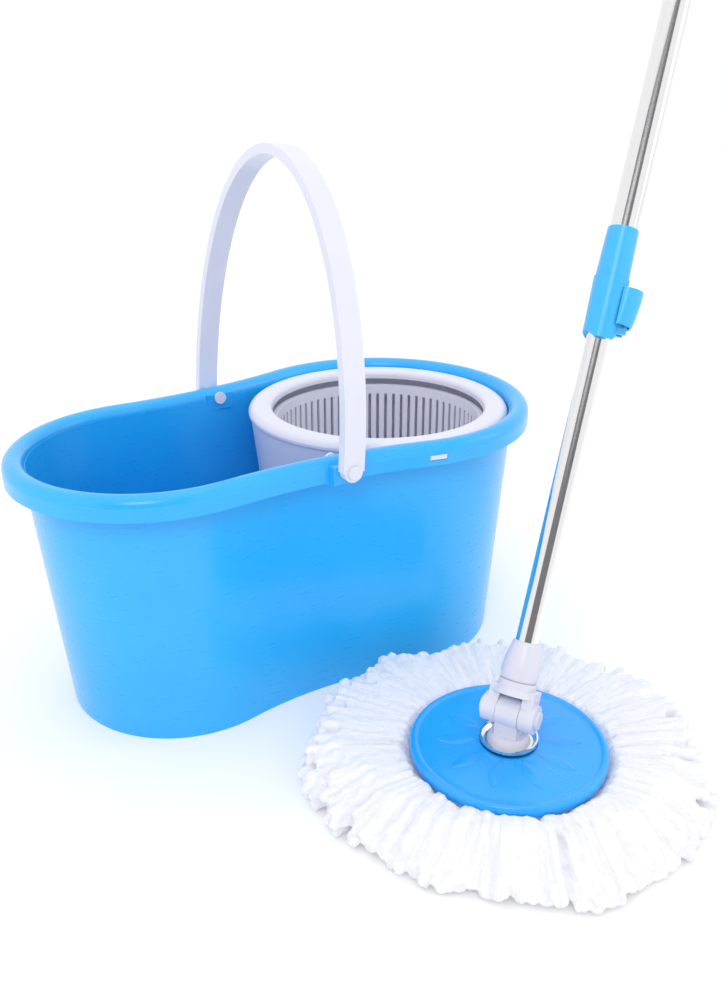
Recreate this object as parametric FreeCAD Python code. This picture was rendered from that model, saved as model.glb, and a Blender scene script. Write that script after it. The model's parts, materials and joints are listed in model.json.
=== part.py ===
import FreeCAD, Part
import math
import os

# Hand-press spin mop set: a two-lobed bucket with a bail handle and a spinning basket, and a mop
# with a swivel head and a telescopic twist-drive pole that stands beside the bucket.
# Millimetres, +Z up. The origin is on the floor under the middle of the bucket, +X towards the basket.

V = FreeCAD.Vector
X_AXIS = V(1, 0, 0)
Y_AXIS = V(0, 1, 0)
Z_AXIS = V(0, 0, 1)

# ---- overall sizes ----
bucket_length = 480.0        # over the rolled lip, end to end
bucket_height = 225.0        # floor to the top of the lip
handle_height = 449.0        # floor to the top of the raised handle
plate_dia = 147.0            # blue disc of the mop head
yarn_spread = 292.0          # across the spread strands
pole_length = 985.0          # pivot pin to the top of the end cap, at rest
pole_lean = 26.7             # degrees from upright, at rest
pole_azimuth = 25.35         # degrees, direction of the lean seen from above
mop_x = 23.0                 # where the mop head stands
mop_y = -281.6

# ---- bucket ----
lip_radius = 8.6             # rolled lip, outside radius of its section
lip_wall = 2.6
lip_skirt = 10.0             # straight part below the roll
wall = 3.0
wall_step = 0.4              # wall stands proud of the lip's inner face
floor_thick = 4.0
well_radius = 108.9          # lip centreline of the water end
spin_radius = 130.7          # lip centreline of the basket end
waist_radius = 479.0
foot_inset = 17.0            # how far the foot stands in from the wall at each end
foot_well_radius = 98.0
foot_spin_radius = 115.0
foot_waist_radius = 300.0
pin_drop = 8.0               # handle pin below the top of the lip
pad_width = 26.0
pad_height = 15.0
pad_inner = 99.0             # inner face of the pin pads from the middle plane
pad_gap = 0.6                # pad to handle
tongue_angles = (-104.0, 0.0, 104.0)     # drum tongues, from +X about the basket centre
tongue_width = 15.0
tongue_height = 4.0
tongue_drop = 1.0            # tongues below the ring's underside
tongue_gap = 0.4             # slot larger than the tongue all round

# ---- handle ----
strap_width = 19.0
strap_thick = 8.0
strap_inner = 124.0          # inner face of each leg from the middle plane
handle_x = -14.0
handle_lean = 4.0            # degrees towards the basket, at rest
handle_end_radius = 8.2
pin_radius = 4.0
pin_clearance = 0.05
pin_head_radius = 5.6
pin_head_thick = 2.4
pin_head_gap = 0.2

# ---- drum, basket and spindle ----
drum_gap = 1.6               # between the drum ring and the bucket wall
drum_opening = 98.3
drum_drop = 5.5              # ring top below the lip top
ring_thick = 7.4
drum_skirt_radius = 119.0
drum_skirt_low_radius = 109.5
drum_skirt_thick = 2.2
drum_skirt_depth = 92.0
basket_radius = 96.0
basket_wall = 2.0
basket_rim = 3.2
basket_top_gap = 6.0         # under the drum ring
basket_depth = 92.0
slot_count = 72
slot_width = 3.0
slot_height = 50.0
slot_top = 9.0               # wall left above the slots
hub_radius = 14.0
bush_radius = 9.0
spindle_radius = 5.0
running_fit = 0.05
column_radius = 17.0
column_wall = 5.0
column_top = 100.0
washer_thick = 1.5

# ---- mop head ----
plate_thick = 3.0
plate_top = 45.0
plate_rim_drop = 9.0
plate_rim_thick = 3.5
dish_radius = 21.5
dish_thick = 1.2
dish_height = 5.0
pivot_height = 70.0
knuckle_radius = 11.0
knuckle_half = 8.6
base_radius = 16.0
base_thick = 7.0
screw_circle = 11.5
screw_radius = 1.8
screw_head_radius = 3.4
screw_head_thick = 2.2
yarn_ring_margin = 11.5      # yarn ring inside the plate, at its outer edge
yarn_ring_outer = plate_dia / 2 - yarn_ring_margin
yarn_ring_width = 12.0
yarn_ring_inner = yarn_ring_outer - yarn_ring_width
yarn_ring_thick = 4.0
pad_margin = 7.5
pad_radius = plate_dia / 2 - pad_margin
pad_thick = 2.0
soft_gap = 0.3

# ---- pole, measured from the pivot pin along the pole ----
ear_gap = 0.3                # each side of the knuckle
ear_outer = 20.0
ear_radius = 10.7
cap_thick = 2.4
cap_radius = 6.5
pivot_pin_radius = 3.0
collar_base = 18.0
collar_radius = 14.0
collar_thick = 6.0
ferrule_top = 53.0
ferrule_top_radius = 9.7
ferrule_base_radius = 13.6
lower_radius = 8.5
lower_wall = 0.8
lower_start = 28.0
lower_end = 560.0
spigot_end = 46.0
upper_radius = 10.0
upper_wall = 0.8
upper_start = 330.0
tube_top_drop = 27.0         # the end cap stands this far above the tube
upper_end = pole_length - tube_top_drop
shroud_base = 280.0
shroud_top = 325.0
shroud_radius = 12.6
sleeve_wall = 0.7
sleeve_top = 350.0
clip_top = 362.0
clip_top_radius = 11.3
clip_base_radius = 12.3
lever_angle = -62.5          # side the lever faces, about the pole
lever_pivot_out = 14.0
lever_pivot_up = 291.0
lever_top = 319.0
lever_reach = 23.8
lever_shell_gap = 6.9        # shell starts this far above the pin, clear of the cheeks
rod_width = 8.0
rod_thick = 2.0
rod_lead = 150.0             # length of one full twist
rod_bottom = 330.0
rod_top_drop = 63.0
rod_top = pole_length - rod_top_drop
rod_step = 15.0              # degrees of twist between sections
nut_slot_clearance = 0.5
nut_plate = 2.0
bush_hole = 4.6
guide_thick = 12.0
grip_drop = 185.0            # foot of the grip below the top of the pole
grip_start = pole_length - grip_drop
grip_radius = 13.6
hang_hole_radius = 4.0
hang_hole_drop = 11.0
hang_tab_thick = 8.0

# ---- sizes that follow ----
lip_centre_z = bucket_height - lip_radius
half_path = bucket_length / 2.0 - lip_radius
well_x = -(half_path - well_radius)
spin_x = half_path - spin_radius
foot_well_x = -(half_path - lip_radius + wall - foot_inset - foot_well_radius)
foot_spin_x = half_path - lip_radius + wall - foot_inset - foot_spin_radius
pin_z = bucket_height - pin_drop
strap_outer = strap_inner + strap_thick
drum_radius = spin_radius - lip_radius - drum_gap
ring_top = bucket_height - drum_drop
ring_base = ring_top - ring_thick
basket_top = ring_base - basket_top_gap
basket_base = basket_top - basket_depth
bush_base = column_top + washer_thick + 0.1
bush_top = basket_base + 12.0


def saved(name, shape):
    shape.exportStep("parts/" + name + ".step")


def joined(shapes):
    result = shapes[0]
    for shape in shapes[1:]:
        result = result.fuse(shape)
    return result.removeSplitter()


def cylinder(radius, low, high, x=0.0, y=0.0):
    return Part.makeCylinder(radius, high - low, V(x, y, low))


def tube(outer, inner, low, high, x=0.0, y=0.0):
    return cylinder(outer, low, high, x, y).cut(cylinder(inner, low - 1.0, high + 1.0, x, y))


def cone(low_radius, high_radius, low, high, x=0.0, y=0.0):
    return Part.makeCone(low_radius, high_radius, high - low, V(x, y, low))


def box(x0, x1, y0, y1, z0, z1):
    return Part.makeBox(x1 - x0, y1 - y0, z1 - z0, V(x0, y0, z0))


def rod_y(radius, y0, y1, x, z):
    return Part.makeCylinder(radius, y1 - y0, V(x, y0, z), Y_AXIS)


def turned(points, x=0.0, y=0.0):
    # Revolves a closed outline of (radius, height) corners about a vertical axis.
    corners = [V(r, 0, z) for r, z in points]
    face = Part.Face(Part.makePolygon(corners + [corners[0]]))
    solid = face.revolve(V(0, 0, 0), Z_AXIS, 360.0)
    solid.translate(V(x, y, 0))
    return solid


def lobe_points(r1, x1, r2, x2, rf):
    # Centre of the waist arc and the two points where it meets the lobes, on the +Y side.
    a = r1 + rf
    b = r2 + rf
    xf = (a * a - b * b - x1 * x1 + x2 * x2) / (2.0 * (x2 - x1))
    yf = math.sqrt(a * a - (xf - x1) ** 2)
    t1 = V(x1 + (xf - x1) * r1 / a, yf * r1 / a, 0)
    t2 = V(x2 + (xf - x2) * r2 / b, yf * r2 / b, 0)
    return V(xf, yf, 0), t1, t2


def lobed_wire(r1, x1, r2, x2, rf, offset, z):
    # Closed outline of two round ends joined by two hollow waist arcs.
    ra = r1 + offset
    rb = r2 + offset
    rw = rf - offset
    centre, t1, t2 = lobe_points(ra, x1, rb, x2, rw)
    up = V(0, 0, z)
    mid = V(centre.x, centre.y - rw, 0)
    low1 = V(t1.x, -t1.y, 0)
    low2 = V(t2.x, -t2.y, 0)
    end1 = Part.Arc(t1 + up, V(x1 - ra, 0, z), low1 + up).toShape()
    side1 = Part.Arc(low1 + up, V(mid.x, -mid.y, z), low2 + up).toShape()
    end2 = Part.Arc(low2 + up, V(x2 + rb, 0, z), t2 + up).toShape()
    side2 = Part.Arc(t2 + up, V(mid.x, mid.y, z), t1 + up).toShape()
    return Part.Wire([end1, side1, end2, side2])


def swept_lip(face_at):
    # Runs a section, given as a function of its path radius and side, around the lip path.
    centre, t1, t2 = lobe_points(well_radius, well_x, spin_radius, spin_x, waist_radius)
    a1 = math.degrees(math.atan2(t1.y, t1.x - well_x))
    a2 = math.degrees(math.atan2(t2.y, t2.x - spin_x))
    pieces = []
    for x, radius, start, sweep in ((well_x, well_radius, a1, 360.0 - 2.0 * a1),
                                    (spin_x, spin_radius, -a2, 2.0 * a2)):
        face = face_at(radius, 1.0)
        face.translate(V(x, 0, 0))
        face.rotate(V(x, 0, 0), Z_AXIS, start)
        pieces.append(face.revolve(V(x, 0, 0), Z_AXIS, sweep))
    for side in (1.0, -1.0):
        w1 = math.degrees(math.atan2(t1.y - centre.y, t1.x - centre.x))
        w2 = math.degrees(math.atan2(t2.y - centre.y, t2.x - centre.x))
        face = face_at(waist_radius, -1.0)
        face.translate(V(centre.x, side * centre.y, 0))
        axis_point = V(centre.x, side * centre.y, 0)
        start = w1 if side > 0 else -w2
        face.rotate(axis_point, Z_AXIS, start)
        pieces.append(face.revolve(axis_point, Z_AXIS, w2 - w1))
    return joined(pieces)


def lip_section(path_radius, sign):
    # Half-round roll, open below, with a short skirt outside and the wall's top inside.
    def p(out, z):
        return V(path_radius + sign * out, 0, z)
    ro = lip_radius
    ri = lip_radius - lip_wall
    z = lip_centre_z
    outer = Part.Arc(p(-ro, z), p(0, z + ro), p(ro, z)).toShape()
    skirt = Part.makeLine(p(ro, z), p(ro, z - lip_skirt))
    hem = Part.makeLine(p(ro, z - lip_skirt), p(ri, z - lip_skirt))
    back = Part.makeLine(p(ri, z - lip_skirt), p(ri, z))
    inner = Part.Arc(p(ri, z), p(0, z + ri), p(-ri, z)).toShape()
    foot = Part.makeLine(p(-ri, z), p(-ri, z - 1.0))
    under = Part.makeLine(p(-ri, z - 1.0), p(-ro, z - 1.0))
    close = Part.makeLine(p(-ro, z - 1.0), p(-ro, z))
    return Part.Face(Part.Wire([outer, skirt, hem, back, inner, foot, under, close]))


def foot_wire(offset, z):
    return lobed_wire(foot_well_radius, foot_well_x, foot_spin_radius, foot_spin_x,
                      foot_waist_radius, offset, z)


def rim_wire(offset, z):
    return lobed_wire(well_radius, well_x, spin_radius, spin_x, waist_radius,
                      offset - lip_radius, z)


def drum_tongues(start, reach, grow):
    # Tongues that stand out of the drum ring into slots in the bucket lip.
    result = []
    low = ring_base - tongue_drop
    for angle in tongue_angles:
        piece = box(start, reach, -tongue_width / 2.0 - grow, tongue_width / 2.0 + grow,
                    low - grow, low + tongue_height + grow)
        piece.rotate(V(0, 0, 0), Z_AXIS, angle)
        piece.translate(V(spin_x, 0, 0))
        result.append(piece)
    return result


def bucket_shell():
    top = lip_centre_z
    outside = Part.makeLoft([foot_wire(0.0, 0.0), rim_wire(wall, top)], True, True)
    slope = floor_thick / top
    low_inner = foot_wire(-wall + foot_inset * slope, floor_thick)
    inside = Part.makeLoft([low_inner, rim_wire(-wall_step, top + 1.0)], True, True)
    shell = outside.cut(inside)
    shell = joined([shell, swept_lip(lip_section)])
    solids = [shell]
    for side in (1.0, -1.0):
        y_in = side * pad_inner
        y_out = side * (strap_inner - pad_gap)
        solids.append(box(handle_x - pad_width / 2.0, handle_x + pad_width / 2.0,
                          min(y_in, y_out), max(y_in, y_out),
                          pin_z - pad_height * 0.75, pin_z + pad_height * 0.25))
    solids.append(cone(column_radius + 4.0, column_radius, floor_thick / 2.0, column_top, spin_x))
    shell = joined(solids)
    shell = shell.cut(cylinder(column_radius - column_wall, -1.0, column_top - 10.0, spin_x))
    shell = shell.cut(cylinder(spindle_radius, 0.0, column_top + 1.0, spin_x))
    shell = shell.cut(rod_y(pin_radius, -strap_outer, strap_outer, handle_x, pin_z))
    for tool in drum_tongues(drum_radius - 3.0, spin_radius + 2.0 * lip_radius, tongue_gap):
        shell = shell.cut(tool)
    return shell


def spinner_drum():
    inner_edge = drum_opening
    profile = Part.Face(Part.Wire([
        Part.Arc(V(drum_radius, 0, ring_base + 2.4), V(drum_radius - 3.4, 0, ring_top - 0.9),
                 V(drum_radius - 8.5, 0, ring_top)).toShape(),
        Part.makeLine(V(drum_radius - 8.5, 0, ring_top), V(inner_edge + 5.0, 0, ring_top)),
        Part.Arc(V(inner_edge + 5.0, 0, ring_top), V(inner_edge + 1.4, 0, ring_top - 1.5),
                 V(inner_edge, 0, ring_top - 5.0)).toShape(),
        Part.makeLine(V(inner_edge, 0, ring_top - 5.0), V(inner_edge, 0, ring_base)),
        Part.makeLine(V(inner_edge, 0, ring_base), V(drum_radius, 0, ring_base)),
        Part.makeLine(V(drum_radius, 0, ring_base), V(drum_radius, 0, ring_base + 2.4))]))
    ring = profile.revolve(V(0, 0, 0), Z_AXIS, 360.0)
    ring.translate(V(spin_x, 0, 0))
    low = ring_base - drum_skirt_depth
    skirt = cone(drum_skirt_low_radius, drum_skirt_radius, low, ring_base + 1.0, spin_x)
    skirt = skirt.cut(cone(drum_skirt_low_radius - drum_skirt_thick,
                           drum_skirt_radius - drum_skirt_thick, low, ring_base + 1.0, spin_x))
    tongues = drum_tongues(drum_radius - 3.0, spin_radius + lip_radius - 0.6, 0.0)
    return joined([ring, skirt] + tongues)


def bail_handle():
    rise_in = handle_height - strap_thick - pin_z - 3.0
    rise_out = handle_height - pin_z - 3.0
    spring = pin_z + 3.0

    def arch(half_width, rise, low):
        half = Part.Ellipse(V(0, 0, spring + rise), V(0, half_width, spring), V(0, 0, spring))
        curve = Part.ArcOfEllipse(half, -math.pi / 2.0, math.pi / 2.0).toShape()
        ends = sorted([curve.Vertexes[0].Point, curve.Vertexes[1].Point], key=lambda q: q.y)
        left = Part.makeLine(ends[0], V(0, ends[0].y, low))
        base = Part.makeLine(V(0, ends[0].y, low), V(0, ends[1].y, low))
        right = Part.makeLine(V(0, ends[1].y, low), ends[1])
        return Part.Face(Part.Wire(Part.__sortEdges__([curve, left, base, right])))

    outer = arch(strap_outer, rise_out, pin_z)
    inner = arch(strap_inner, rise_in, pin_z - 1.0)
    band = outer.cut(inner).extrude(V(strap_width, 0, 0))
    band.translate(V(-strap_width / 2.0, 0, 0))
    solids = [band]
    for side in (1.0, -1.0):
        y0 = strap_inner if side > 0 else -strap_outer
        solids.append(rod_y(handle_end_radius, y0, y0 + strap_thick, 0.0, pin_z))
    handle = joined(solids)
    handle = handle.cut(rod_y(pin_radius + pin_clearance, -strap_outer - 1.0, strap_outer + 1.0,
                              0.0, pin_z))
    handle.rotate(V(0, 0, pin_z), Y_AXIS, handle_lean)
    handle.translate(V(handle_x, 0, 0))
    return handle


def handle_pins():
    pins = []
    for side in (1.0, -1.0):
        y_in = pad_inner
        y_out = strap_outer + pin_head_gap
        shaft = rod_y(pin_radius, y_in - 0.5, y_out + 0.5, 0.0, pin_z)
        head_in = rod_y(pin_head_radius, y_in - pin_head_thick, y_in, 0.0, pin_z)
        head_out = rod_y(pin_head_radius, y_out, y_out + pin_head_thick, 0.0, pin_z)
        pin = joined([shaft, head_in, head_out])
        pin.translate(V(handle_x, 0, 0))
        if side < 0:
            pin = pin.mirror(V(0, 0, 0), Y_AXIS)
        pins.append(pin)
    return Part.makeCompound(pins)


def hexagon(across, low, high, x=0.0, y=0.0):
    radius = across / math.sqrt(3.0)
    corners = [V(x + radius * math.cos(math.radians(60.0 * i)),
                 y + radius * math.sin(math.radians(60.0 * i)), low) for i in range(7)]
    return Part.Face(Part.makePolygon(corners)).extrude(V(0, 0, high - low))


def spindle():
    head = hexagon(17.0, column_top - 16.0, column_top - 10.0, spin_x)
    shank = cylinder(spindle_radius, column_top - 12.0, bush_top + 9.0, spin_x)
    return joined([head, shank])


def spin_basket():
    side = tube(basket_radius, basket_radius - basket_wall, basket_base, basket_top, spin_x)
    rim = tube(basket_radius + basket_rim, basket_radius - basket_wall, basket_top - 2.5,
               basket_top, spin_x)
    base = cylinder(basket_radius, basket_base, basket_base + 2.5, spin_x)
    hub = cylinder(hub_radius, bush_base + 0.1, bush_top, spin_x)
    basket = joined([side, rim, base, hub])
    basket = basket.cut(cylinder(bush_radius, bush_base - 1.0, bush_top + 1.0, spin_x))
    slots = []
    slot_high = basket_top - slot_top
    for i in range(slot_count // 2):
        slot = box(-basket_radius - 1.0, basket_radius + 1.0, -slot_width / 2.0,
                   slot_width / 2.0, slot_high - slot_height, slot_high)
        slot = slot.cut(cylinder(basket_radius - 8.0, slot_high - slot_height - 1.0,
                                 slot_high + 1.0))
        slot.rotate(V(0, 0, 0), Z_AXIS, 360.0 * i / slot_count)
        slot.translate(V(spin_x, 0, 0))
        slots.append(slot)
    drains = []
    for i in range(12):
        drain = box(32.0, 80.0, -2.5, 2.5, basket_base - 1.0, basket_base + 4.0)
        drain.rotate(V(0, 0, 0), Z_AXIS, 30.0 * i)
        drain.translate(V(spin_x, 0, 0))
        drains.append(drain)
    return basket.cut(Part.makeCompound(slots)).cut(Part.makeCompound(drains))


def basket_cap():
    outer = [(0.0, bush_top + 16.0), (9.0, bush_top + 14.5), (14.5, bush_top + 9.0),
             (hub_radius + 2.0, bush_top), (hub_radius + 2.0, basket_base + 2.5),
             (hub_radius, basket_base + 2.5), (hub_radius, bush_top),
             (12.5, bush_top + 8.0), (8.0, bush_top + 12.5), (0.0, bush_top + 13.5)]
    return turned(outer, spin_x)


def bucket_parts():
    washer_gap = 0.1
    screw_top = bush_top + 2.0 * washer_gap + washer_thick
    saved("bucket_shell", bucket_shell())
    saved("spinner_drum", spinner_drum())
    saved("handle_pins", handle_pins())
    saved("spindle", spindle())
    saved("spindle_washer_lower", tube(11.0, spindle_radius, column_top,
                                       column_top + washer_thick, spin_x))
    saved("spindle_washer_upper", tube(8.5, spindle_radius, bush_top + washer_gap,
                                       bush_top + washer_gap + washer_thick, spin_x))
    nut = hexagon(13.0, bush_top + washer_gap + washer_thick, screw_top + 6.0, spin_x)
    saved("spindle_nut", nut.cut(cylinder(spindle_radius, 0.0, bucket_height, spin_x)))
    saved("bail_handle", bail_handle())
    saved("spin_basket", spin_basket())
    saved("basket_bush", tube(bush_radius, spindle_radius + running_fit, bush_base, bush_top,
                              spin_x))
    saved("basket_cap", basket_cap())


# ---- mop head: built about its own upright axis, then set down beside the bucket ----

def head_placed(shape):
    shape.rotate(V(0, 0, 0), Z_AXIS, pole_azimuth)
    shape.translate(V(mop_x, mop_y, 0))
    return shape


def pole_placed(shape):
    shape.rotate(V(0, 0, 0), Y_AXIS, pole_lean)
    shape.rotate(V(0, 0, 0), Z_AXIS, pole_azimuth)
    shape.translate(V(mop_x, mop_y, pivot_height))
    return shape


def screw_spots():
    spots = []
    for i in range(4):
        angle = math.radians(45.0 + 90.0 * i)
        spots.append((screw_circle * math.cos(angle), screw_circle * math.sin(angle)))
    return spots


def mop_plate():
    radius = plate_dia / 2.0
    under = plate_top - plate_thick
    low = plate_top - plate_rim_drop
    plate = turned([(0.0, under), (radius - plate_rim_thick, under),
                    (radius - plate_rim_thick, low), (radius - 0.8, low),
                    (radius, low + 1.5), (radius, plate_top - 1.5),
                    (radius - 2.0, plate_top + 0.4), (radius - 5.5, plate_top - 0.4),
                    (radius - 8.0, plate_top), (0.0, plate_top)])
    for x, y in screw_spots():
        plate = plate.cut(cylinder(screw_radius + 0.2, 0.0, plate_top + 1.0, x, y))
    return plate


def retaining_dish():
    low = plate_top
    dish = turned([(0.0, low), (dish_radius - 3.0, low), (dish_radius, low + 2.6),
                   (dish_radius, low + dish_height), (dish_radius - dish_thick, low + dish_height),
                   (dish_radius - dish_thick, low + 3.0),
                   (dish_radius - 3.6, low + dish_thick), (0.0, low + dish_thick)])
    for x, y in screw_spots():
        dish = dish.cut(cylinder(screw_radius + 0.2, 0.0, plate_top + 9.0, x, y))
    return dish


def swivel_base():
    low = plate_top + dish_thick
    foot = cone(base_radius, base_radius - 2.5, low, low + base_thick)
    stem = box(-9.0, 9.0, -knuckle_half, knuckle_half, low + 2.0, pivot_height)
    barrel = rod_y(knuckle_radius, -knuckle_half, knuckle_half, 0.0, pivot_height)
    base = joined([foot, stem, barrel])
    base = base.cut(rod_y(pivot_pin_radius + running_fit, -20.0, 20.0, 0.0, pivot_height))
    for x, y in screw_spots():
        base = base.cut(cylinder(screw_radius, 0.0, low + base_thick - 1.0, x, y))
    return base


def base_screws():
    screws = []
    under = plate_top - plate_thick
    for x, y in screw_spots():
        head = cylinder(screw_head_radius, under - screw_head_thick, under, x, y)
        shank = cylinder(screw_radius, under - 0.5, plate_top + dish_thick + base_thick - 1.5, x, y)
        screws.append(joined([head, shank]))
    return Part.makeCompound(screws)


def mop_yarn():
    # Soft skirt of loops, drawn as one closed cushion lying on the floor.
    radius = yarn_spread / 2.0
    top = plate_top - plate_rim_drop - soft_gap
    edge = Part.Arc(V(radius - 5.0, 0, 0), V(radius, 0, 5.5), V(radius - 4.0, 0, 12.0)).toShape()
    slope = Part.Arc(V(radius - 4.0, 0, 12.0), V(radius * 0.78, 0, top * 0.72),
                     V(plate_dia / 2.0, 0, top)).toShape()
    lid = Part.makeLine(V(plate_dia / 2.0, 0, top), V(0, 0, top))
    axis = Part.makeLine(V(0, 0, top), V(0, 0, 0))
    base = Part.makeLine(V(0, 0, 0), V(radius - 5.0, 0, 0))
    face = Part.Face(Part.Wire([edge, slope, lid, axis, base]))
    return face.revolve(V(0, 0, 0), Z_AXIS, 360.0)


def head_parts():
    under = plate_top - plate_thick
    low = under - yarn_ring_thick
    saved("mop_plate", head_placed(mop_plate()))
    saved("retaining_dish", head_placed(retaining_dish()))
    saved("swivel_base", head_placed(swivel_base()))
    saved("base_screws", head_placed(base_screws()))
    saved("yarn_ring", head_placed(tube(yarn_ring_outer, yarn_ring_inner, low, under)))
    pad = cylinder(pad_radius, low - pad_thick, low)
    saved("backing_pad", head_placed(pad))
    saved("mop_yarn", head_placed(mop_yarn()))


# ---- pole: built upright from the pivot pin, then leaned ----

def fork():
    solids = []
    inner = knuckle_half + ear_gap
    for side in (1.0, -1.0):
        y0 = inner if side > 0 else -ear_outer
        y1 = ear_outer if side > 0 else -inner
        solids.append(rod_y(ear_radius, y0, y1, 0.0, 0.0))
        arm0 = inner if side > 0 else -inner - 8.0
        solids.append(box(-8.5, 8.5, arm0, arm0 + 8.0, 0.0, collar_base + 1.0))
    solids.append(cone(collar_radius + 3.5, collar_radius, collar_base - 4.0,
                       collar_base + 1.0))
    solids.append(cylinder(collar_radius, collar_base, collar_base + collar_thick))
    solids.append(cylinder(lower_radius - lower_wall, collar_base, spigot_end))
    result = joined(solids)
    result = result.cut(rod_y(pivot_pin_radius, -30.0, 30.0, 0.0, 0.0))
    result = result.cut(cylinder(4.0, collar_base + 8.0, spigot_end + 1.0))
    return result


def pin_caps():
    caps = []
    for side in (1.0, -1.0):
        y0 = ear_outer if side > 0 else -ear_outer - cap_thick
        caps.append(rod_y(cap_radius, y0, y0 + cap_thick, 0.0, 0.0))
    return Part.makeCompound(caps)


def ferrule():
    base = collar_base + collar_thick
    body = cone(ferrule_base_radius, ferrule_top_radius, base, ferrule_top)
    bore_low = cylinder(lower_radius - lower_wall, base - 1.0, lower_start)
    bore = cylinder(lower_radius, lower_start, ferrule_top + 1.0)
    return body.cut(bore_low).cut(bore)


def ferrule_rivet():
    reach = 11.6
    height = 36.0
    shaft = rod_y(1.6, -reach, reach, 0.0, height)
    return shaft


def twist_rod():
    count = int(round((rod_top - rod_bottom) / rod_lead * 360.0 / rod_step))
    sections = []
    zero_at = lower_end - nut_plate / 2.0
    for i in range(count + 1):
        s = rod_bottom + (rod_top - rod_bottom) * i / count
        turn = 360.0 * (s - zero_at) / rod_lead
        corners = [V(-rod_width / 2.0, -rod_thick / 2.0, s), V(rod_width / 2.0, -rod_thick / 2.0, s),
                   V(rod_width / 2.0, rod_thick / 2.0, s), V(-rod_width / 2.0, rod_thick / 2.0, s)]
        wire = Part.makePolygon(corners + [corners[0]])
        wire.rotate(V(0, 0, 0), Z_AXIS, turn)
        sections.append(wire)
    strip = Part.makeLoft(sections, True, True)
    stub = cylinder(3.0, rod_top - 1.0, rod_top + 20.0)
    return strip.fuse(stub)


def drive_nut():
    body = cylinder(lower_radius - lower_wall, lower_end - 14.0, lower_end)
    flange = cylinder(lower_radius, lower_end, lower_end + nut_plate / 2.0)
    nut = joined([body, flange])
    hollow = cylinder(5.2, lower_end - 15.0, lower_end - nut_plate)
    half_w = rod_width / 2.0 + nut_slot_clearance
    half_t = rod_thick / 2.0 + nut_slot_clearance
    slot = box(-half_w, half_w, -half_t, half_t, lower_end - nut_plate - 1.0, lower_end + 3.0)
    return nut.cut(hollow).cut(slot)


def guide_bush():
    low = lower_end + nut_plate / 2.0 + 0.2
    return tube(upper_radius - upper_wall - running_fit, bush_hole, low, low + guide_thick)


def clip_collar():
    body = cone(clip_base_radius, clip_top_radius, shroud_top, clip_top)
    step = cylinder(upper_radius + sleeve_wall, shroud_top - 1.0, sleeve_top)
    return body.cut(step).cut(cylinder(upper_radius, shroud_top - 1.0, clip_top + 1.0))


def lever_turned(shape):
    shape.rotate(V(0, 0, 0), Z_AXIS, lever_angle)
    return shape


def clip_shroud():
    body = cone(shroud_radius - 0.6, shroud_radius + 0.5, shroud_base, shroud_top)
    sleeve = cylinder(upper_radius + sleeve_wall, shroud_top - 1.0, sleeve_top)
    cheeks = box(4.0, 17.6, -6.6, 6.6, lever_pivot_up - 5.0, lever_pivot_up + 5.0)
    shroud = joined([body, sleeve, cheeks])
    shroud = shroud.cut(cylinder(lower_radius + running_fit, shroud_base - 1.0, upper_start - 2.0))
    shroud = shroud.cut(cylinder(upper_radius, upper_start - 2.0, sleeve_top + 1.0))
    window = box(5.0, 20.0, -3.4, 3.4, lever_pivot_up - 5.5, lever_top + 0.5)
    shroud = shroud.cut(window)
    hole = rod_y(1.5, -8.0, 8.0, lever_pivot_out, lever_pivot_up)
    shroud = shroud.cut(hole)
    scoop = Part.makeCylinder(15.0, 40.0, V(-20.0, 0, shroud_base - 11.0), X_AXIS)
    shroud = shroud.cut(scoop)
    return lever_turned(shroud)


def lever_pin():
    return lever_turned(rod_y(1.5, -6.6, 6.6, lever_pivot_out, lever_pivot_up))


def cam_shoe():
    block = box(6.0, 10.5, -3.2, 3.2, lever_pivot_up - 5.0, lever_pivot_up + 5.0)
    return lever_turned(block.cut(cylinder(lower_radius + running_fit, 0.0, lever_top + 20.0)))


def lock_lever():
    # Thumb lever: a cam on the pin, a web and a curved outer shell.
    low = lever_pivot_up - 3.2
    corners = [V(lever_pivot_out - 3.2, 0, lever_pivot_up), V(lever_pivot_out - 3.2, 0, lever_top - 3.0),
               V(13.5, 0, lever_top), V(lever_reach, 0, lever_top)]
    outer = Part.Arc(V(lever_reach, 0, lever_top), V(lever_reach - 4.6, 0, (low + lever_top) / 2.0),
                     V(lever_pivot_out, 0, low)).toShape()
    lines = [Part.makeLine(corners[i], corners[i + 1]) for i in range(3)]
    nose = Part.Arc(V(lever_pivot_out, 0, low),
                    V(lever_pivot_out - 2.26, 0, lever_pivot_up - 2.26), corners[0]).toShape()
    face = Part.Face(Part.Wire(lines + [outer, nose]))
    web = face.extrude(V(0, 6.0, 0))
    web.translate(V(0, -3.0, 0))
    shell = face.extrude(V(0, 17.0, 0))
    shell.translate(V(0, -8.5, 0))
    shell = shell.cut(cylinder(shroud_radius + 1.0, 0.0, lever_top + 20.0))
    shell = shell.cut(box(0.0, 40.0, -10.0, 10.0, 0.0, lever_pivot_up + lever_shell_gap))
    lever = joined([web, shell])
    lever = lever.cut(cylinder(lower_radius + 1.2, 0.0, lever_top + 20.0))
    hole = rod_y(1.5 + running_fit, -12.0, 12.0, lever_pivot_out, lever_pivot_up)
    return lever_turned(lever.cut(hole))


def end_cap():
    body = cone(grip_radius, grip_radius - 3.0, upper_end, pole_length - 18.0)
    tab = box(-9.0, 9.0, -hang_tab_thick / 2.0, hang_tab_thick / 2.0, upper_end + 2.0,
              pole_length - 9.0)
    crown = rod_y(9.0, -hang_tab_thick / 2.0, hang_tab_thick / 2.0, 0.0, pole_length - 9.0)
    spigot = cylinder(upper_radius - upper_wall, upper_end - 14.0, upper_end + 1.0)
    cap = joined([body, tab, crown, spigot])
    return cap.cut(rod_y(hang_hole_radius, -20.0, 20.0, 0.0, pole_length - hang_hole_drop))


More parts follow.
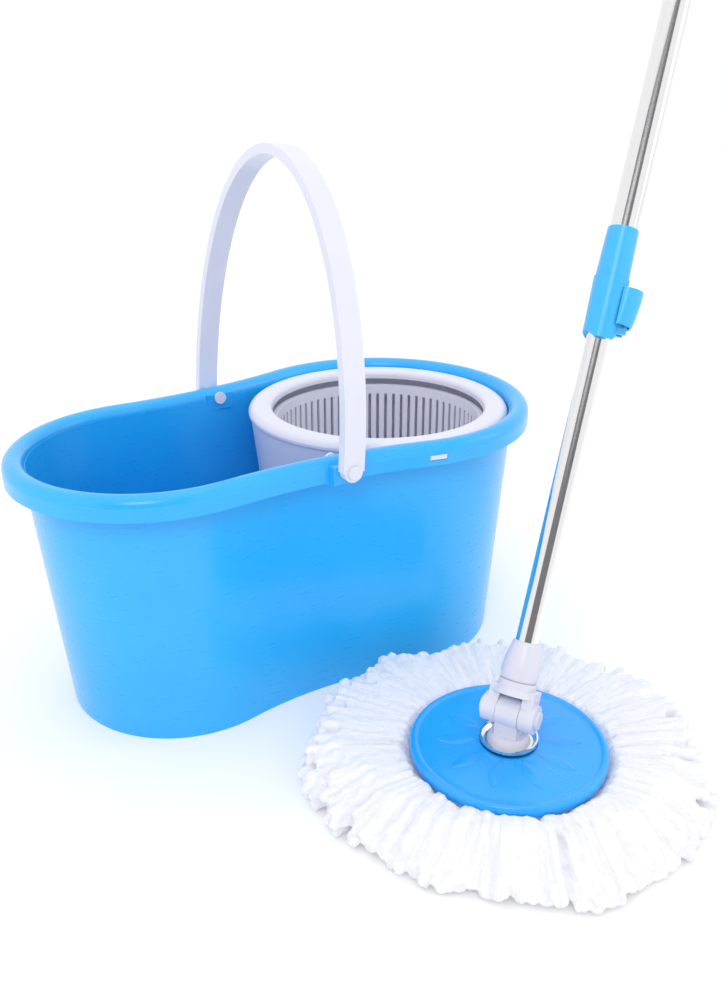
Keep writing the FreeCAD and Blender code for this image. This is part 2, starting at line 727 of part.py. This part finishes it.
def pole_parts():
    saved("pivot_pin", pole_placed(rod_y(pivot_pin_radius, -ear_outer, ear_outer, 0.0, 0.0)))
    saved("pin_caps", pole_placed(pin_caps()))
    rivet_hole = rod_y(1.6, -20.0, 20.0, 0.0, 36.0)
    saved("ferrule", pole_placed(ferrule().cut(rivet_hole)))
    saved("fork", pole_placed(fork().cut(rivet_hole)))
    saved("ferrule_rivet", pole_placed(ferrule_rivet()))
    lower = tube(lower_radius, lower_radius - lower_wall, lower_start, lower_end)
    saved("lower_tube", pole_placed(lower.cut(rivet_hole)))
    saved("drive_nut", pole_placed(drive_nut()))
    saved("guide_bush", pole_placed(guide_bush()))
    rod_rivet_z = rod_top + 12.0
    rod_hole = rod_y(1.4, -20.0, 20.0, 0.0, rod_rivet_z)
    upper = tube(upper_radius, upper_radius - upper_wall, upper_start, upper_end)
    saved("upper_tube", pole_placed(upper.cut(rod_hole)))
    saved("twist_rod", pole_placed(twist_rod().cut(rod_hole)))
    plug = tube(upper_radius - upper_wall, 3.0, rod_top + 2.0, rod_top + 20.0)
    saved("rod_plug", pole_placed(plug.cut(rod_hole)))
    rivet = rod_y(1.4, -upper_radius + 0.15, upper_radius - 0.15, 0.0, rod_rivet_z)
    saved("rod_rivet", pole_placed(rivet))
    clamp = tube(upper_radius - upper_wall, lower_radius + running_fit, upper_start,
                 upper_start + 20.0)
    lip = tube(upper_radius, lower_radius + running_fit, upper_start - 2.0, upper_start)
    saved("clamp_bush", pole_placed(joined([clamp, lip])))
    saved("clip_collar", pole_placed(clip_collar()))
    saved("clip_shroud", pole_placed(clip_shroud()))
    saved("lever_pin", pole_placed(lever_pin()))
    saved("cam_shoe", pole_placed(cam_shoe()))
    saved("lock_lever", pole_placed(lock_lever()))
    grip = tube(grip_radius, upper_radius, grip_start, upper_end)
    saved("grip_sleeve", pole_placed(grip))
    saved("end_cap", pole_placed(end_cap()))


os.makedirs("parts", exist_ok=True)
bucket_parts()
head_parts()
pole_parts()
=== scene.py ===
import json
import math
import random

import bpy
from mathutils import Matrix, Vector


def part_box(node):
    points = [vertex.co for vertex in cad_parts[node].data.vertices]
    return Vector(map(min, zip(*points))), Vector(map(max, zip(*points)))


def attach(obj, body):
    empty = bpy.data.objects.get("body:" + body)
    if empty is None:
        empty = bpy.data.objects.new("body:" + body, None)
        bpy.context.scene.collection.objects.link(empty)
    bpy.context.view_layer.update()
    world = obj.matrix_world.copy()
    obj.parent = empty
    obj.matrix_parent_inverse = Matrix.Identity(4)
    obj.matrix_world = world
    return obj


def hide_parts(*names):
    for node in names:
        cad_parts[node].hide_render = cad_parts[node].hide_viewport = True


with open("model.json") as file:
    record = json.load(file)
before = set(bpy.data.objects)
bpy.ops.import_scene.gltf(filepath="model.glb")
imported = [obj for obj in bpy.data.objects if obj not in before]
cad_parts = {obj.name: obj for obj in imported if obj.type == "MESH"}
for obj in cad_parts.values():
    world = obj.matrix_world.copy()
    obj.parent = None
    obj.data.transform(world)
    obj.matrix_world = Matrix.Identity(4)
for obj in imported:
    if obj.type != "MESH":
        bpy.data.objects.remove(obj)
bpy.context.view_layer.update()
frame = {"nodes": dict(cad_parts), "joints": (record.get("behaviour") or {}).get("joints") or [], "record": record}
rng = random.Random(11)

NODES = frame["nodes"]
SLOTS = {s["node"]: s["material_slot"] for s in frame["record"]["subparts"]}
JOINTS = {j["name"]: j for j in frame["joints"]}
PIVOT = Vector(JOINTS["head_tilt"]["pos_m"])
ALONG = Vector(JOINTS["drive_spin"]["axis"]).normalized()
LEVER_AXIS = Vector(JOINTS["lever_flip"]["axis"]).normalized()
LEVER_OUT = LEVER_AXIS.cross(ALONG).normalized()

plate_low, plate_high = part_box("mop_plate")
plate_middle = (plate_low + plate_high) / 2.0
plate_middle.z = 0.0
plate_radius = (plate_high.x - plate_low.x) / 2.0
yarn_low, yarn_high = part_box("mop_yarn")
yarn_middle = (yarn_low + yarn_high) / 2.0
yarn_radius = (yarn_high.x - yarn_low.x) / 2.0


# ---------------------------------------------------------------- materials

def node_material(name):
    # Empty material with one shader, and the place on the piece for its patterns.
    mat = bpy.data.materials.new(name)
    mat.use_nodes = True
    tree = mat.node_tree
    tree.nodes.clear()
    out = tree.nodes.new("ShaderNodeOutputMaterial")
    shader = tree.nodes.new("ShaderNodeBsdfPrincipled")
    tree.links.new(shader.outputs["BSDF"], out.inputs["Surface"])
    coords = tree.nodes.new("ShaderNodeTexCoord")
    return mat, tree, shader, coords.outputs["Object"]


def mapped(tree, vector, setting, value):
    # The pattern's coordinates, moved, turned or stretched.
    node = tree.nodes.new("ShaderNodeMapping")
    node.inputs[setting].default_value = value
    tree.links.new(vector, node.inputs["Vector"])
    return node.outputs["Vector"]


def noise(tree, vector, scale, detail=3.0, rough=0.5, stretch=None):
    if stretch:
        vector = mapped(tree, vector, "Scale", stretch)
    node = tree.nodes.new("ShaderNodeTexNoise")
    node.inputs["Scale"].default_value = scale
    node.inputs["Detail"].default_value = detail
    node.inputs["Roughness"].default_value = rough
    tree.links.new(vector, node.inputs["Vector"])
    return node.outputs["Fac"]


def ramp(tree, value, low, high, at=(0.35, 0.65)):
    node = tree.nodes.new("ShaderNodeValToRGB")
    node.color_ramp.elements[0].position = at[0]
    node.color_ramp.elements[1].position = at[1]
    node.color_ramp.elements[0].color = tuple(low) + (1.0,)
    node.color_ramp.elements[1].color = tuple(high) + (1.0,)
    tree.links.new(value, node.inputs["Fac"])
    return node.outputs["Color"]


def spread(tree, value, low, high):
    node = tree.nodes.new("ShaderNodeMapRange")
    node.inputs["To Min"].default_value = low
    node.inputs["To Max"].default_value = high
    tree.links.new(value, node.inputs["Value"])
    return node.outputs["Result"]


def bump(tree, shader, height, strength, distance):
    node = tree.nodes.new("ShaderNodeBump")
    node.inputs["Strength"].default_value = strength
    node.inputs["Distance"].default_value = distance
    tree.links.new(height, node.inputs["Height"])
    tree.links.new(node.outputs["Normal"], shader.inputs["Normal"])


def plastic(name, low, high, rough, glow=0.0, coat=0.0, grain=900.0):
    # Moulded plastic: slow tone drift, fine moulding grain, faint handling marks.
    mat, tree, shader, pos = node_material(name)
    tone = noise(tree, pos, 7.0, 3.0)
    tree.links.new(ramp(tree, tone, low, high), shader.inputs["Base Color"])
    marks = noise(tree, pos, 60.0, 5.0, 0.7, (1.0, 1.0, 4.0))
    tree.links.new(spread(tree, marks, rough * 0.9, rough * 1.1), shader.inputs["Roughness"])
    shader.inputs["IOR"].default_value = 1.49
    shader.inputs["Coat Weight"].default_value = coat
    shader.inputs["Coat Roughness"].default_value = 0.12
    if glow:
        shader.inputs["Subsurface Weight"].default_value = glow
        shader.inputs["Subsurface Radius"].default_value = (0.6, 0.8, 1.0)
        shader.inputs["Subsurface Scale"].default_value = 0.006
    grain_fac = noise(tree, pos, grain, 2.0)
    bump(tree, shader, grain_fac, 0.03, 0.0001)
    return mat


def metal(name, low, high, rough):
    # Drawn tube: faint lines along the pole and slight smudges.
    mat, tree, shader, pos = node_material(name)
    upright = ALONG.rotation_difference(Vector((0.0, 0.0, 1.0))).to_euler()
    along_pole = mapped(tree, pos, "Rotation", upright)
    lines = noise(tree, along_pole, 900.0, 2.0, 0.5, (1.0, 1.0, 0.01))
    tree.links.new(ramp(tree, lines, low, high, (0.2, 0.8)), shader.inputs["Base Color"])
    smudge = noise(tree, pos, 22.0, 4.0, 0.6)
    tree.links.new(spread(tree, smudge, rough * 0.85, rough * 1.2), shader.inputs["Roughness"])
    shader.inputs["Metallic"].default_value = 1.0
    bump(tree, shader, lines, 0.02, 0.00005)
    return mat


def yarn_material():
    # Microfibre: pale grooves that run outwards, fine fluff, soft light through it. The yarn's colour is painted
    # shade that follows the grooves' height, darker and more lavender in their low parts.
    mat, tree, shader, pos = node_material("yarn_fluff")
    from_middle = mapped(tree, pos, "Location", (-yarn_middle.x, -yarn_middle.y, 0.0))
    flat = mapped(tree, from_middle, "Scale", (1.0, 1.0, 0.0))
    bearing = tree.nodes.new("ShaderNodeVectorMath")
    bearing.operation = "NORMALIZE"
    tree.links.new(flat, bearing.inputs[0])
    drift = tree.nodes.new("ShaderNodeVectorMath")
    drift.operation = "MULTIPLY_ADD"
    drift.inputs[1].default_value = (1.0, 1.0, 0.4)
    tree.links.new(from_middle, drift.inputs[0])
    tree.links.new(bearing.outputs["Vector"], drift.inputs[2])
    grooves_and_shade = noise(tree, drift.outputs["Vector"], 24.0, 4.0, 0.6)
    # Painted shade: the low parts of the grooves take the darker lavender tone, the high parts the lighter one.
    tree.links.new(ramp(tree, grooves_and_shade, (0.80, 0.80, 0.88), (0.90, 0.90, 0.95), (0.30, 0.55)),
                   shader.inputs["Base Color"])
    shader.inputs["Roughness"].default_value = 0.95
    shader.inputs["Specular IOR Level"].default_value = 0.15
    shader.inputs["Sheen Weight"].default_value = 0.5
    shader.inputs["Sheen Roughness"].default_value = 0.6
    shader.inputs["Subsurface Weight"].default_value = 0.25
    shader.inputs["Subsurface Radius"].default_value = (1.0, 1.0, 1.0)
    shader.inputs["Subsurface Scale"].default_value = 0.004
    fluff = noise(tree, pos, 380.0, 4.0, 0.75)
    both = tree.nodes.new("ShaderNodeMath")
    both.operation = "MULTIPLY_ADD"
    both.inputs[1].default_value = 0.45
    tree.links.new(fluff, both.inputs[0])
    tree.links.new(grooves_and_shade, both.inputs[2])
    bump(tree, shader, both.outputs["Value"], 0.8, 0.0030)
    return mat


# Per slot: name, two tones, roughness, then light through it and clear gloss where it has them.
MATS = {
    "blue_plastic": plastic("bucket_blue", (0.014, 0.40, 0.90),
                            (0.022, 0.44, 0.93), 0.28, 0.1, 0.3),
    "plate_blue": plastic("plate_blue", (0.010, 0.34, 0.92),
                          (0.02, 0.39, 0.96), 0.28, 0.1, 0.3),
    "clip_blue": plastic("clip_blue", (0.03, 0.42, 0.86),
                         (0.05, 0.47, 0.9), 0.32, 0.1, 0.2),
    "white_plastic": plastic("white_plastic", (0.70, 0.71, 0.82),
                             (0.74, 0.75, 0.86), 0.30, 0.1, 0.2),
    "grey_plastic": plastic("joint_grey", (0.62, 0.62, 0.72),
                            (0.70, 0.70, 0.79), 0.34, 0.1, 0.1),
    "nylon": plastic("nylon", (0.78, 0.77, 0.70), (0.84, 0.83, 0.77), 0.45),
    "steel": metal("stainless", (0.80, 0.80, 0.80), (0.86, 0.86, 0.86), 0.12),
    "steel_dull": metal("plain_steel", (0.50, 0.50, 0.51), (0.60, 0.60, 0.61), 0.32),
    "grip": plastic("grip_blue", (0.03, 0.40, 0.85), (0.05, 0.45, 0.9), 0.5),
    "yarn": yarn_material(),
    "felt": plastic("backing_cloth", (0.80, 0.80, 0.84), (0.88, 0.88, 0.91), 0.9),
}


def select_only(obj):
    bpy.ops.object.select_all(action="DESELECT")
    obj.select_set(True)
    bpy.context.view_layer.objects.active = obj


def dress(obj, slot):
    # Material of a slot, on the piece.
    obj.data.materials.clear()
    obj.data.materials.append(MATS[slot])


for node_name, node in NODES.items():
    dress(node, SLOTS[node_name])
    for poly in node.data.polygons:
        poly.use_smooth = True
    select_only(node)
    bpy.ops.object.shade_smooth_by_angle(angle=math.radians(34.0))


# ---------------------------------------------------------------- helpers for new pieces

def settle(obj):
    # The piece's place goes into its mesh.
    select_only(obj)
    bpy.ops.object.transform_apply(location=True, rotation=True, scale=True)
    return obj


def finish_piece(obj, name, slot, body, smooth):
    # Closed piece with outward faces, its place in its mesh, one finish and one body.
    settle(obj)
    obj.name = name
    bpy.ops.object.mode_set(mode="EDIT")
    bpy.ops.mesh.select_all(action="SELECT")
    bpy.ops.mesh.normals_make_consistent(inside=False)
    bpy.ops.object.mode_set(mode="OBJECT")
    bpy.ops.object.shade_smooth_by_angle(angle=math.radians(smooth))
    dress(obj, slot)
    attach(obj, body)
    return obj


def turned(profile, sides):
    # A ring extruded and resized from level to level about Z, closed at its ends.
    bpy.ops.object.select_all(action="DESELECT")
    bpy.ops.mesh.primitive_circle_add(vertices=sides, radius=profile[0][0])
    obj = bpy.context.active_object
    bpy.ops.object.mode_set(mode="EDIT")
    bpy.ops.mesh.select_all(action="SELECT")
    bpy.ops.transform.translate(value=(0.0, 0.0, profile[0][1]))
    for (r0, z0), (r1, z1) in zip(profile, profile[1:]):
        bpy.ops.mesh.extrude_region_move(TRANSFORM_OT_translate={"value": (0.0, 0.0, z1 - z0)})
        bpy.ops.transform.resize(value=(r1 / r0, r1 / r0, 1.0), center_override=(0.0, 0.0, z1))
    bpy.ops.mesh.select_all(action="SELECT")
    bpy.ops.mesh.remove_doubles(threshold=0.000005)
    bpy.ops.mesh.fill_holes(sides=0)
    bpy.ops.object.mode_set(mode="OBJECT")
    return obj


# ---------------------------------------------------------------- mop head

PETALS = 10
PETAL_OUT = 0.0380            # middle of a petal from the middle of the plate
PETAL_HALF_LENGTH = 0.0165
PETAL_HALF_WIDTH = 0.0068
YARN_VOXEL = 0.0015
YARN_TRIANGLES = 170000.0
FLOOR_GAP = 0.0003            # yarn stays this far above the floor
STRAND_START = 0.90           # share of the plate's radius where a strand comes out
YARN_BACK = math.radians(56.0)

# Layer of strands: its level in the pile, how many, their thickness, and their share of the reach.
YARN_LAYERS = ((0.0, 100, 0.0054, 0.99), (0.5, 104, 0.0053, 1.0), (1.0, 104, 0.0053, 0.985),
               (1.45, 96, 0.0052, 0.94), (1.7, 88, 0.0050, 0.84))


def reach(angle):
    # How far the yarn lies out at each side: pushed towards the back, uneven all round.
    away = math.cos(angle - math.radians(45.0))
    side = abs(math.sin(angle - math.radians(50.0)))
    return (yarn_radius - 0.0125 + 0.016 * away + 0.020 * side ** 2
            + 0.0035 * math.sin(3.0 * angle + 0.7)
            + 0.0030 * math.sin(7.0 * angle + 2.1))


def bend_strand(mesh, angle, level, length, width):
    # The straight strand is laid out from under the plate, raised, and drooped to its round tip.
    start = plate_radius * STRAND_START
    sway = rng.uniform(-0.035, 0.035)
    curl = rng.uniform(-0.022, 0.022)
    phase = rng.uniform(0.0, 6.28)
    beat = rng.uniform(2.0, 3.2)
    back = 0.5 + 0.5 * math.cos(angle - YARN_BACK)
    lift = 0.022 + 0.004 * level
    tip = width + (0.007 + 0.026 * back) * level
    hump = 0.0135 * level * (0.72 + 0.28 * back)
    for v in mesh.vertices:
        t = math.acos(max(-1.0, min(1.0, -v.co.z))) / math.pi
        round_end = min(1.0, math.sin(math.pi * t) * 6.5)
        around = math.atan2(v.co.y, v.co.x)
        r = start + (length - start) * t
        a = angle + sway * t + curl * math.sin(3.2 * t + phase)
        z = lift + (tip - lift) * t ** 1.8
        z += hump * math.sin(math.pi * min(1.0, t * 1.1)) ** 2
        lump = 1.0 + 0.09 * math.sin(beat * 2.0 * math.pi * t + phase)
        w = width * (0.42 + 0.58 * t) * lump * round_end
        out = Vector((math.cos(a), math.sin(a), 0.0))
        side = Vector((-math.sin(a), math.cos(a), 0.0))
        z = min(max(z, w + 0.0006), yarn_high.z + 0.006 - w)
        v.co = (plate_middle + out * r + side * (w * math.cos(around))
                + Vector((0.0, 0.0, z + w * math.sin(around))))


def yarn():
    # One strand copied in five layers, merged into a soft pile and roughened.
    bpy.ops.object.select_all(action="DESELECT")
    bpy.ops.mesh.primitive_uv_sphere_add(segments=8, ring_count=20, radius=1.0)
    first = bpy.context.active_object
    strands = []
    for level, count, width, far in YARN_LAYERS:
        for i in range(count):
            angle = 2.0 * math.pi * (i + rng.uniform(-0.36, 0.36)) / count
            clump = 0.0035 * math.sin(angle * 13.0) + rng.uniform(-0.006, 0.004)
            strand = first.copy()
            strand.data = first.data.copy()
            bpy.context.scene.collection.objects.link(strand)
            bend_strand(strand.data, angle, level, reach(angle) * far + clump,
                        width * rng.uniform(0.85, 1.15))
            strands.append(strand)
    bpy.data.objects.remove(first)
    bpy.ops.object.select_all(action="DESELECT")
    for strand in strands:
        strand.select_set(True)
    pile = strands[0]
    bpy.context.view_layer.objects.active = pile
    bpy.ops.object.join()
    merge = pile.modifiers.new("merge", "REMESH")
    merge.mode = "VOXEL"
    merge.voxel_size = YARN_VOXEL
    cloud = bpy.data.textures.new("fluff", "CLOUDS")
    cloud.noise_scale = 0.004
    cloud.noise_depth = 3
    rough = pile.modifiers.new("rough", "DISPLACE")
    rough.texture = cloud
    rough.strength = 0.0026
    rough.mid_level = 0.5
    relax = pile.modifiers.new("relax", "SMOOTH")
    relax.factor = 0.5
    relax.iterations = 2
    select_only(pile)
    for mod in list(pile.modifiers):
        bpy.ops.object.modifier_apply(modifier=mod.name)
    for v in pile.data.vertices:
        v.co.z = max(v.co.z, FLOOR_GAP)
    thin = pile.modifiers.new("thin", "DECIMATE")
    thin.ratio = min(1.0, YARN_TRIANGLES / (2.0 * len(pile.data.polygons)))
    bpy.ops.object.modifier_apply(modifier=thin.name)
    finish_piece(pile, "yarn_pile", "yarn", "mop_head", 180.0)
    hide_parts("mop_yarn")


yarn()


def petal(turn, out, height):
    # Low pointed leaf: a disc drawn out, pinched at both ends and raised.
    bpy.ops.object.select_all(action="DESELECT")
    bpy.ops.mesh.primitive_circle_add(vertices=32, radius=1.0, fill_type="NGON")
    obj = bpy.context.active_object
    for v in obj.data.vertices:
        pinch = 1.0 - 0.62 * abs(v.co.x) ** 1.5
        v.co = (v.co.x * PETAL_HALF_LENGTH, v.co.y * PETAL_HALF_WIDTH * pinch, 0.0)
    bpy.ops.object.mode_set(mode="EDIT")
    bpy.ops.mesh.select_all(action="SELECT")
    bpy.ops.mesh.extrude_region_move(TRANSFORM_OT_translate={"value": (0.0, 0.0, 0.0008)})
    bpy.ops.mesh.extrude_region_move(TRANSFORM_OT_translate={"value": (0.0, 0.0, 0.0005)})
    bpy.ops.transform.resize(value=(0.86, 0.62, 1.0), center_override=(0.0, 0.0, 0.0013))
    bpy.ops.object.mode_set(mode="OBJECT")
    obj.rotation_euler = (0.0, 0.0, turn)
    obj.location = plate_middle + Vector((math.cos(turn) * out, math.sin(turn) * out, height))
    return settle(obj)


def flower_plate():
    # Disc with a thick rounded rim and ten low pointed petals around the centre.
    outer = plate_radius
    top = plate_high.z - 0.0006
    low = plate_low.z
    disc = turned([(0.0003, top - 0.0030), (0.0212, top - 0.0030), (0.0216, top + 0.0004),
                   (0.0300, top + 0.0002), (0.0400, top), (0.0520, top - 0.0003),
                   (0.0620, top - 0.0008), (outer - 0.0068, top - 0.0013),
                   (outer - 0.0056, top - 0.0009), (outer - 0.0044, top - 0.0002),
                   (outer - 0.0032, top + 0.0001), (outer - 0.0018, top - 0.0003),
                   (outer - 0.0007, top - 0.0014), (outer - 0.0001, top - 0.0032),
                   (outer, low + 0.0016), (outer - 0.0007, low + 0.0004),
                   (outer - 0.0017, low), (outer - 0.0035, low), (outer - 0.0036, top - 0.0036),
                   (0.0003, top - 0.0036)], 200)
    disc.location = plate_middle
    settle(disc)
    petals = [petal(2.0 * math.pi * i / PETALS, PETAL_OUT, top - 0.0009) for i in range(PETALS)]
    bpy.ops.object.select_all(action="DESELECT")
    for obj in petals:
        obj.select_set(True)
    disc.select_set(True)
    bpy.context.view_layer.objects.active = disc
    bpy.ops.object.join()
    finish_piece(disc, "flower_plate", "plate_blue", "mop_head", 38.0)
    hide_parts("mop_plate")


flower_plate()

# ---------------------------------------------------------------- pole pieces

def on_pole(u, v, w):
    # u outwards on the lever's side, v along the lever's pin, w up the pole, all in millimetres.
    return PIVOT + (LEVER_OUT * u + LEVER_AXIS * v + ALONG * w) / 1000.0


def ferrule_barrel():
    # Bulged barrel, widest low down, with a small step above the collar.
    barrel = turned([(r / 1000.0, z / 1000.0) for r, z in (
        (8.55, 53.0), (9.6, 53.0), (10.0, 52.6), (10.5, 50.5), (11.6, 46.0), (12.9, 40.5),
        (13.7, 35.0), (13.9, 30.5), (13.6, 26.5), (13.0, 24.4), (12.4, 24.0), (8.55, 24.0),
        (8.55, 53.0))], 96)
    barrel.rotation_euler = ALONG.to_track_quat("Z", "Y").to_euler()
    barrel.location = PIVOT
    finish_piece(barrel, "ferrule_barrel", "grey_plastic", "lower_pole", 50.0)
    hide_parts("ferrule")


def lever_fin():
    # Curved thumb lever wrapped round one side of the clip. Each level: height, distance out.
    levels = ((291.9, 20.6), (293.0, 21.6), (297.0, 22.4), (304.0, 23.3), (311.0, 24.0),
              (317.0, 24.3), (319.0, 24.2))
    base = 13.5
    spread_deg = 54.0
    bpy.ops.object.select_all(action="DESELECT")
    bpy.ops.mesh.primitive_grid_add(x_subdivisions=40, y_subdivisions=len(levels) - 1, size=2.0)
    fin = bpy.context.active_object
    for v in fin.data.vertices:
        height, far = levels[round((v.co.y + 1.0) / 2.0 * (len(levels) - 1))]
        phi = math.radians(v.co.x * spread_deg)
        r = base + (far - base) * max(0.0, math.cos(math.radians(v.co.x * 90.0))) ** 0.78
        v.co = on_pole(r * math.cos(phi), r * math.sin(phi), height)
    wall = fin.modifiers.new("wall", "SOLIDIFY")
    wall.thickness = 0.0012
    wall.offset = 0.0
    select_only(fin)
    bpy.ops.object.modifier_apply(modifier=wall.name)
    finish_piece(fin, "lever_fin", "clip_blue", "lever", 45.0)
    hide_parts("lock_lever")


ferrule_barrel()
lever_fin()

# The handle strap's edges are rounded.
strap_edge = NODES["bail_handle"].modifiers.new("edge", "BEVEL")
strap_edge.width = 0.0026
strap_edge.segments = 4
strap_edge.limit_method = "ANGLE"
strap_edge.angle_limit = math.radians(50.0)
strap_edge.harden_normals = False

# ---------------------------------------------------------------- floor, lights and camera

bpy.ops.mesh.primitive_plane_add(size=30.0, location=(0.0, 0.0, 0.0))
floor = bpy.context.active_object
floor.name = "floor"
floor_mat, floor_tree, floor_shader, floor_pos = node_material("floor_white")
floor_tone = noise(floor_tree, floor_pos, 0.8, 1.0)
floor_tree.links.new(ramp(floor_tree, floor_tone, (0.86, 0.86, 0.86), (0.88, 0.88, 0.88)),
                     floor_shader.inputs["Base Color"])
floor_shader.inputs["Emission Color"].default_value = (1.0, 1.0, 1.0, 1.0)
floor_shader.inputs["Emission Strength"].default_value = 0.13
floor_shader.inputs["Roughness"].default_value = 0.9
floor_shader.inputs["Specular IOR Level"].default_value = 0.1
floor.data.materials.append(floor_mat)

world = bpy.data.worlds.new("studio")
bpy.context.scene.world = world
world.use_nodes = True
world.node_tree.nodes["Background"].inputs["Color"].default_value = (1.0, 1.0, 1.0, 1.0)
world.node_tree.nodes["Background"].inputs["Strength"].default_value = 1.02


LOWER_TARGET = (0.05, -0.1, 0.1)
UPPER_TARGET = (0.05, -0.1, 0.15)


def soft_light(name, place, target, size, power):
    # Rectangular studio light turned to face its target.
    data = bpy.data.lights.new(name, "AREA")
    data.shape = "RECTANGLE"
    data.size = size[0]
    data.size_y = size[1]
    data.energy = power
    obj = bpy.data.objects.new(name, data)
    bpy.context.scene.collection.objects.link(obj)
    obj.location = place
    direction = Vector(target) - Vector(place)
    obj.rotation_euler = direction.to_track_quat("-Z", "Y").to_euler()


soft_light("key", (-1.3, -1.6, 2.2), UPPER_TARGET, (1.0, 1.0), 16.0)
soft_light("fill", (1.9, -1.2, 1.3), UPPER_TARGET, (0.8, 1.4), 3.0)
soft_light("top", (0.1, 0.3, 2.6), LOWER_TARGET, (1.6, 1.6), 3.0)

# A grey card that only shows in reflections, as the dark stripe down the steel tubes.
PANEL_TARGET = Vector((0.1, -0.2, 0.35))
bpy.ops.mesh.primitive_plane_add(size=1.0, location=(-1.05, -1.65, 0.95))
panel = bpy.context.active_object
panel.name = "dark_panel"
panel_facing = PANEL_TARGET - Vector(panel.location)
panel.rotation_euler = panel_facing.to_track_quat("Z", "Y").to_euler()
panel.scale = (2.4, 3.6, 1.0)
panel_mat, _, panel_shader, _ = node_material("panel_dark")
panel_shader.inputs["Base Color"].default_value = (0.16, 0.16, 0.17, 1.0)
panel.data.materials.append(panel_mat)
panel.visible_camera = False
panel.visible_diffuse = False
panel.visible_shadow = False
panel.visible_transmission = False

CAMERA_DOWN = 23.526          # degrees below level
CAMERA_TURN = -34.256         # degrees from facing +Y
SENSOR = 36.0
FRAME_HEIGHT = 993.0
FOCAL = 950.0                 # in the same unit as the frame's height

cam_data = bpy.data.cameras.new("camera")
cam = bpy.data.objects.new("camera", cam_data)
bpy.context.scene.collection.objects.link(cam)
cam.location = (-0.38885, -0.69580, 0.49196)
cam.rotation_mode = "XYZ"
cam.rotation_euler = (math.radians(90.0 - CAMERA_DOWN), 0.0, math.radians(CAMERA_TURN))
cam_data.sensor_width = SENSOR
cam_data.sensor_fit = "AUTO"
cam_data.lens = FOCAL * SENSOR / FRAME_HEIGHT
cam_data.clip_start = 0.01
cam_data.clip_end = 60.0
bpy.context.scene.camera = cam
bpy.context.scene.view_settings.view_transform = "Standard"
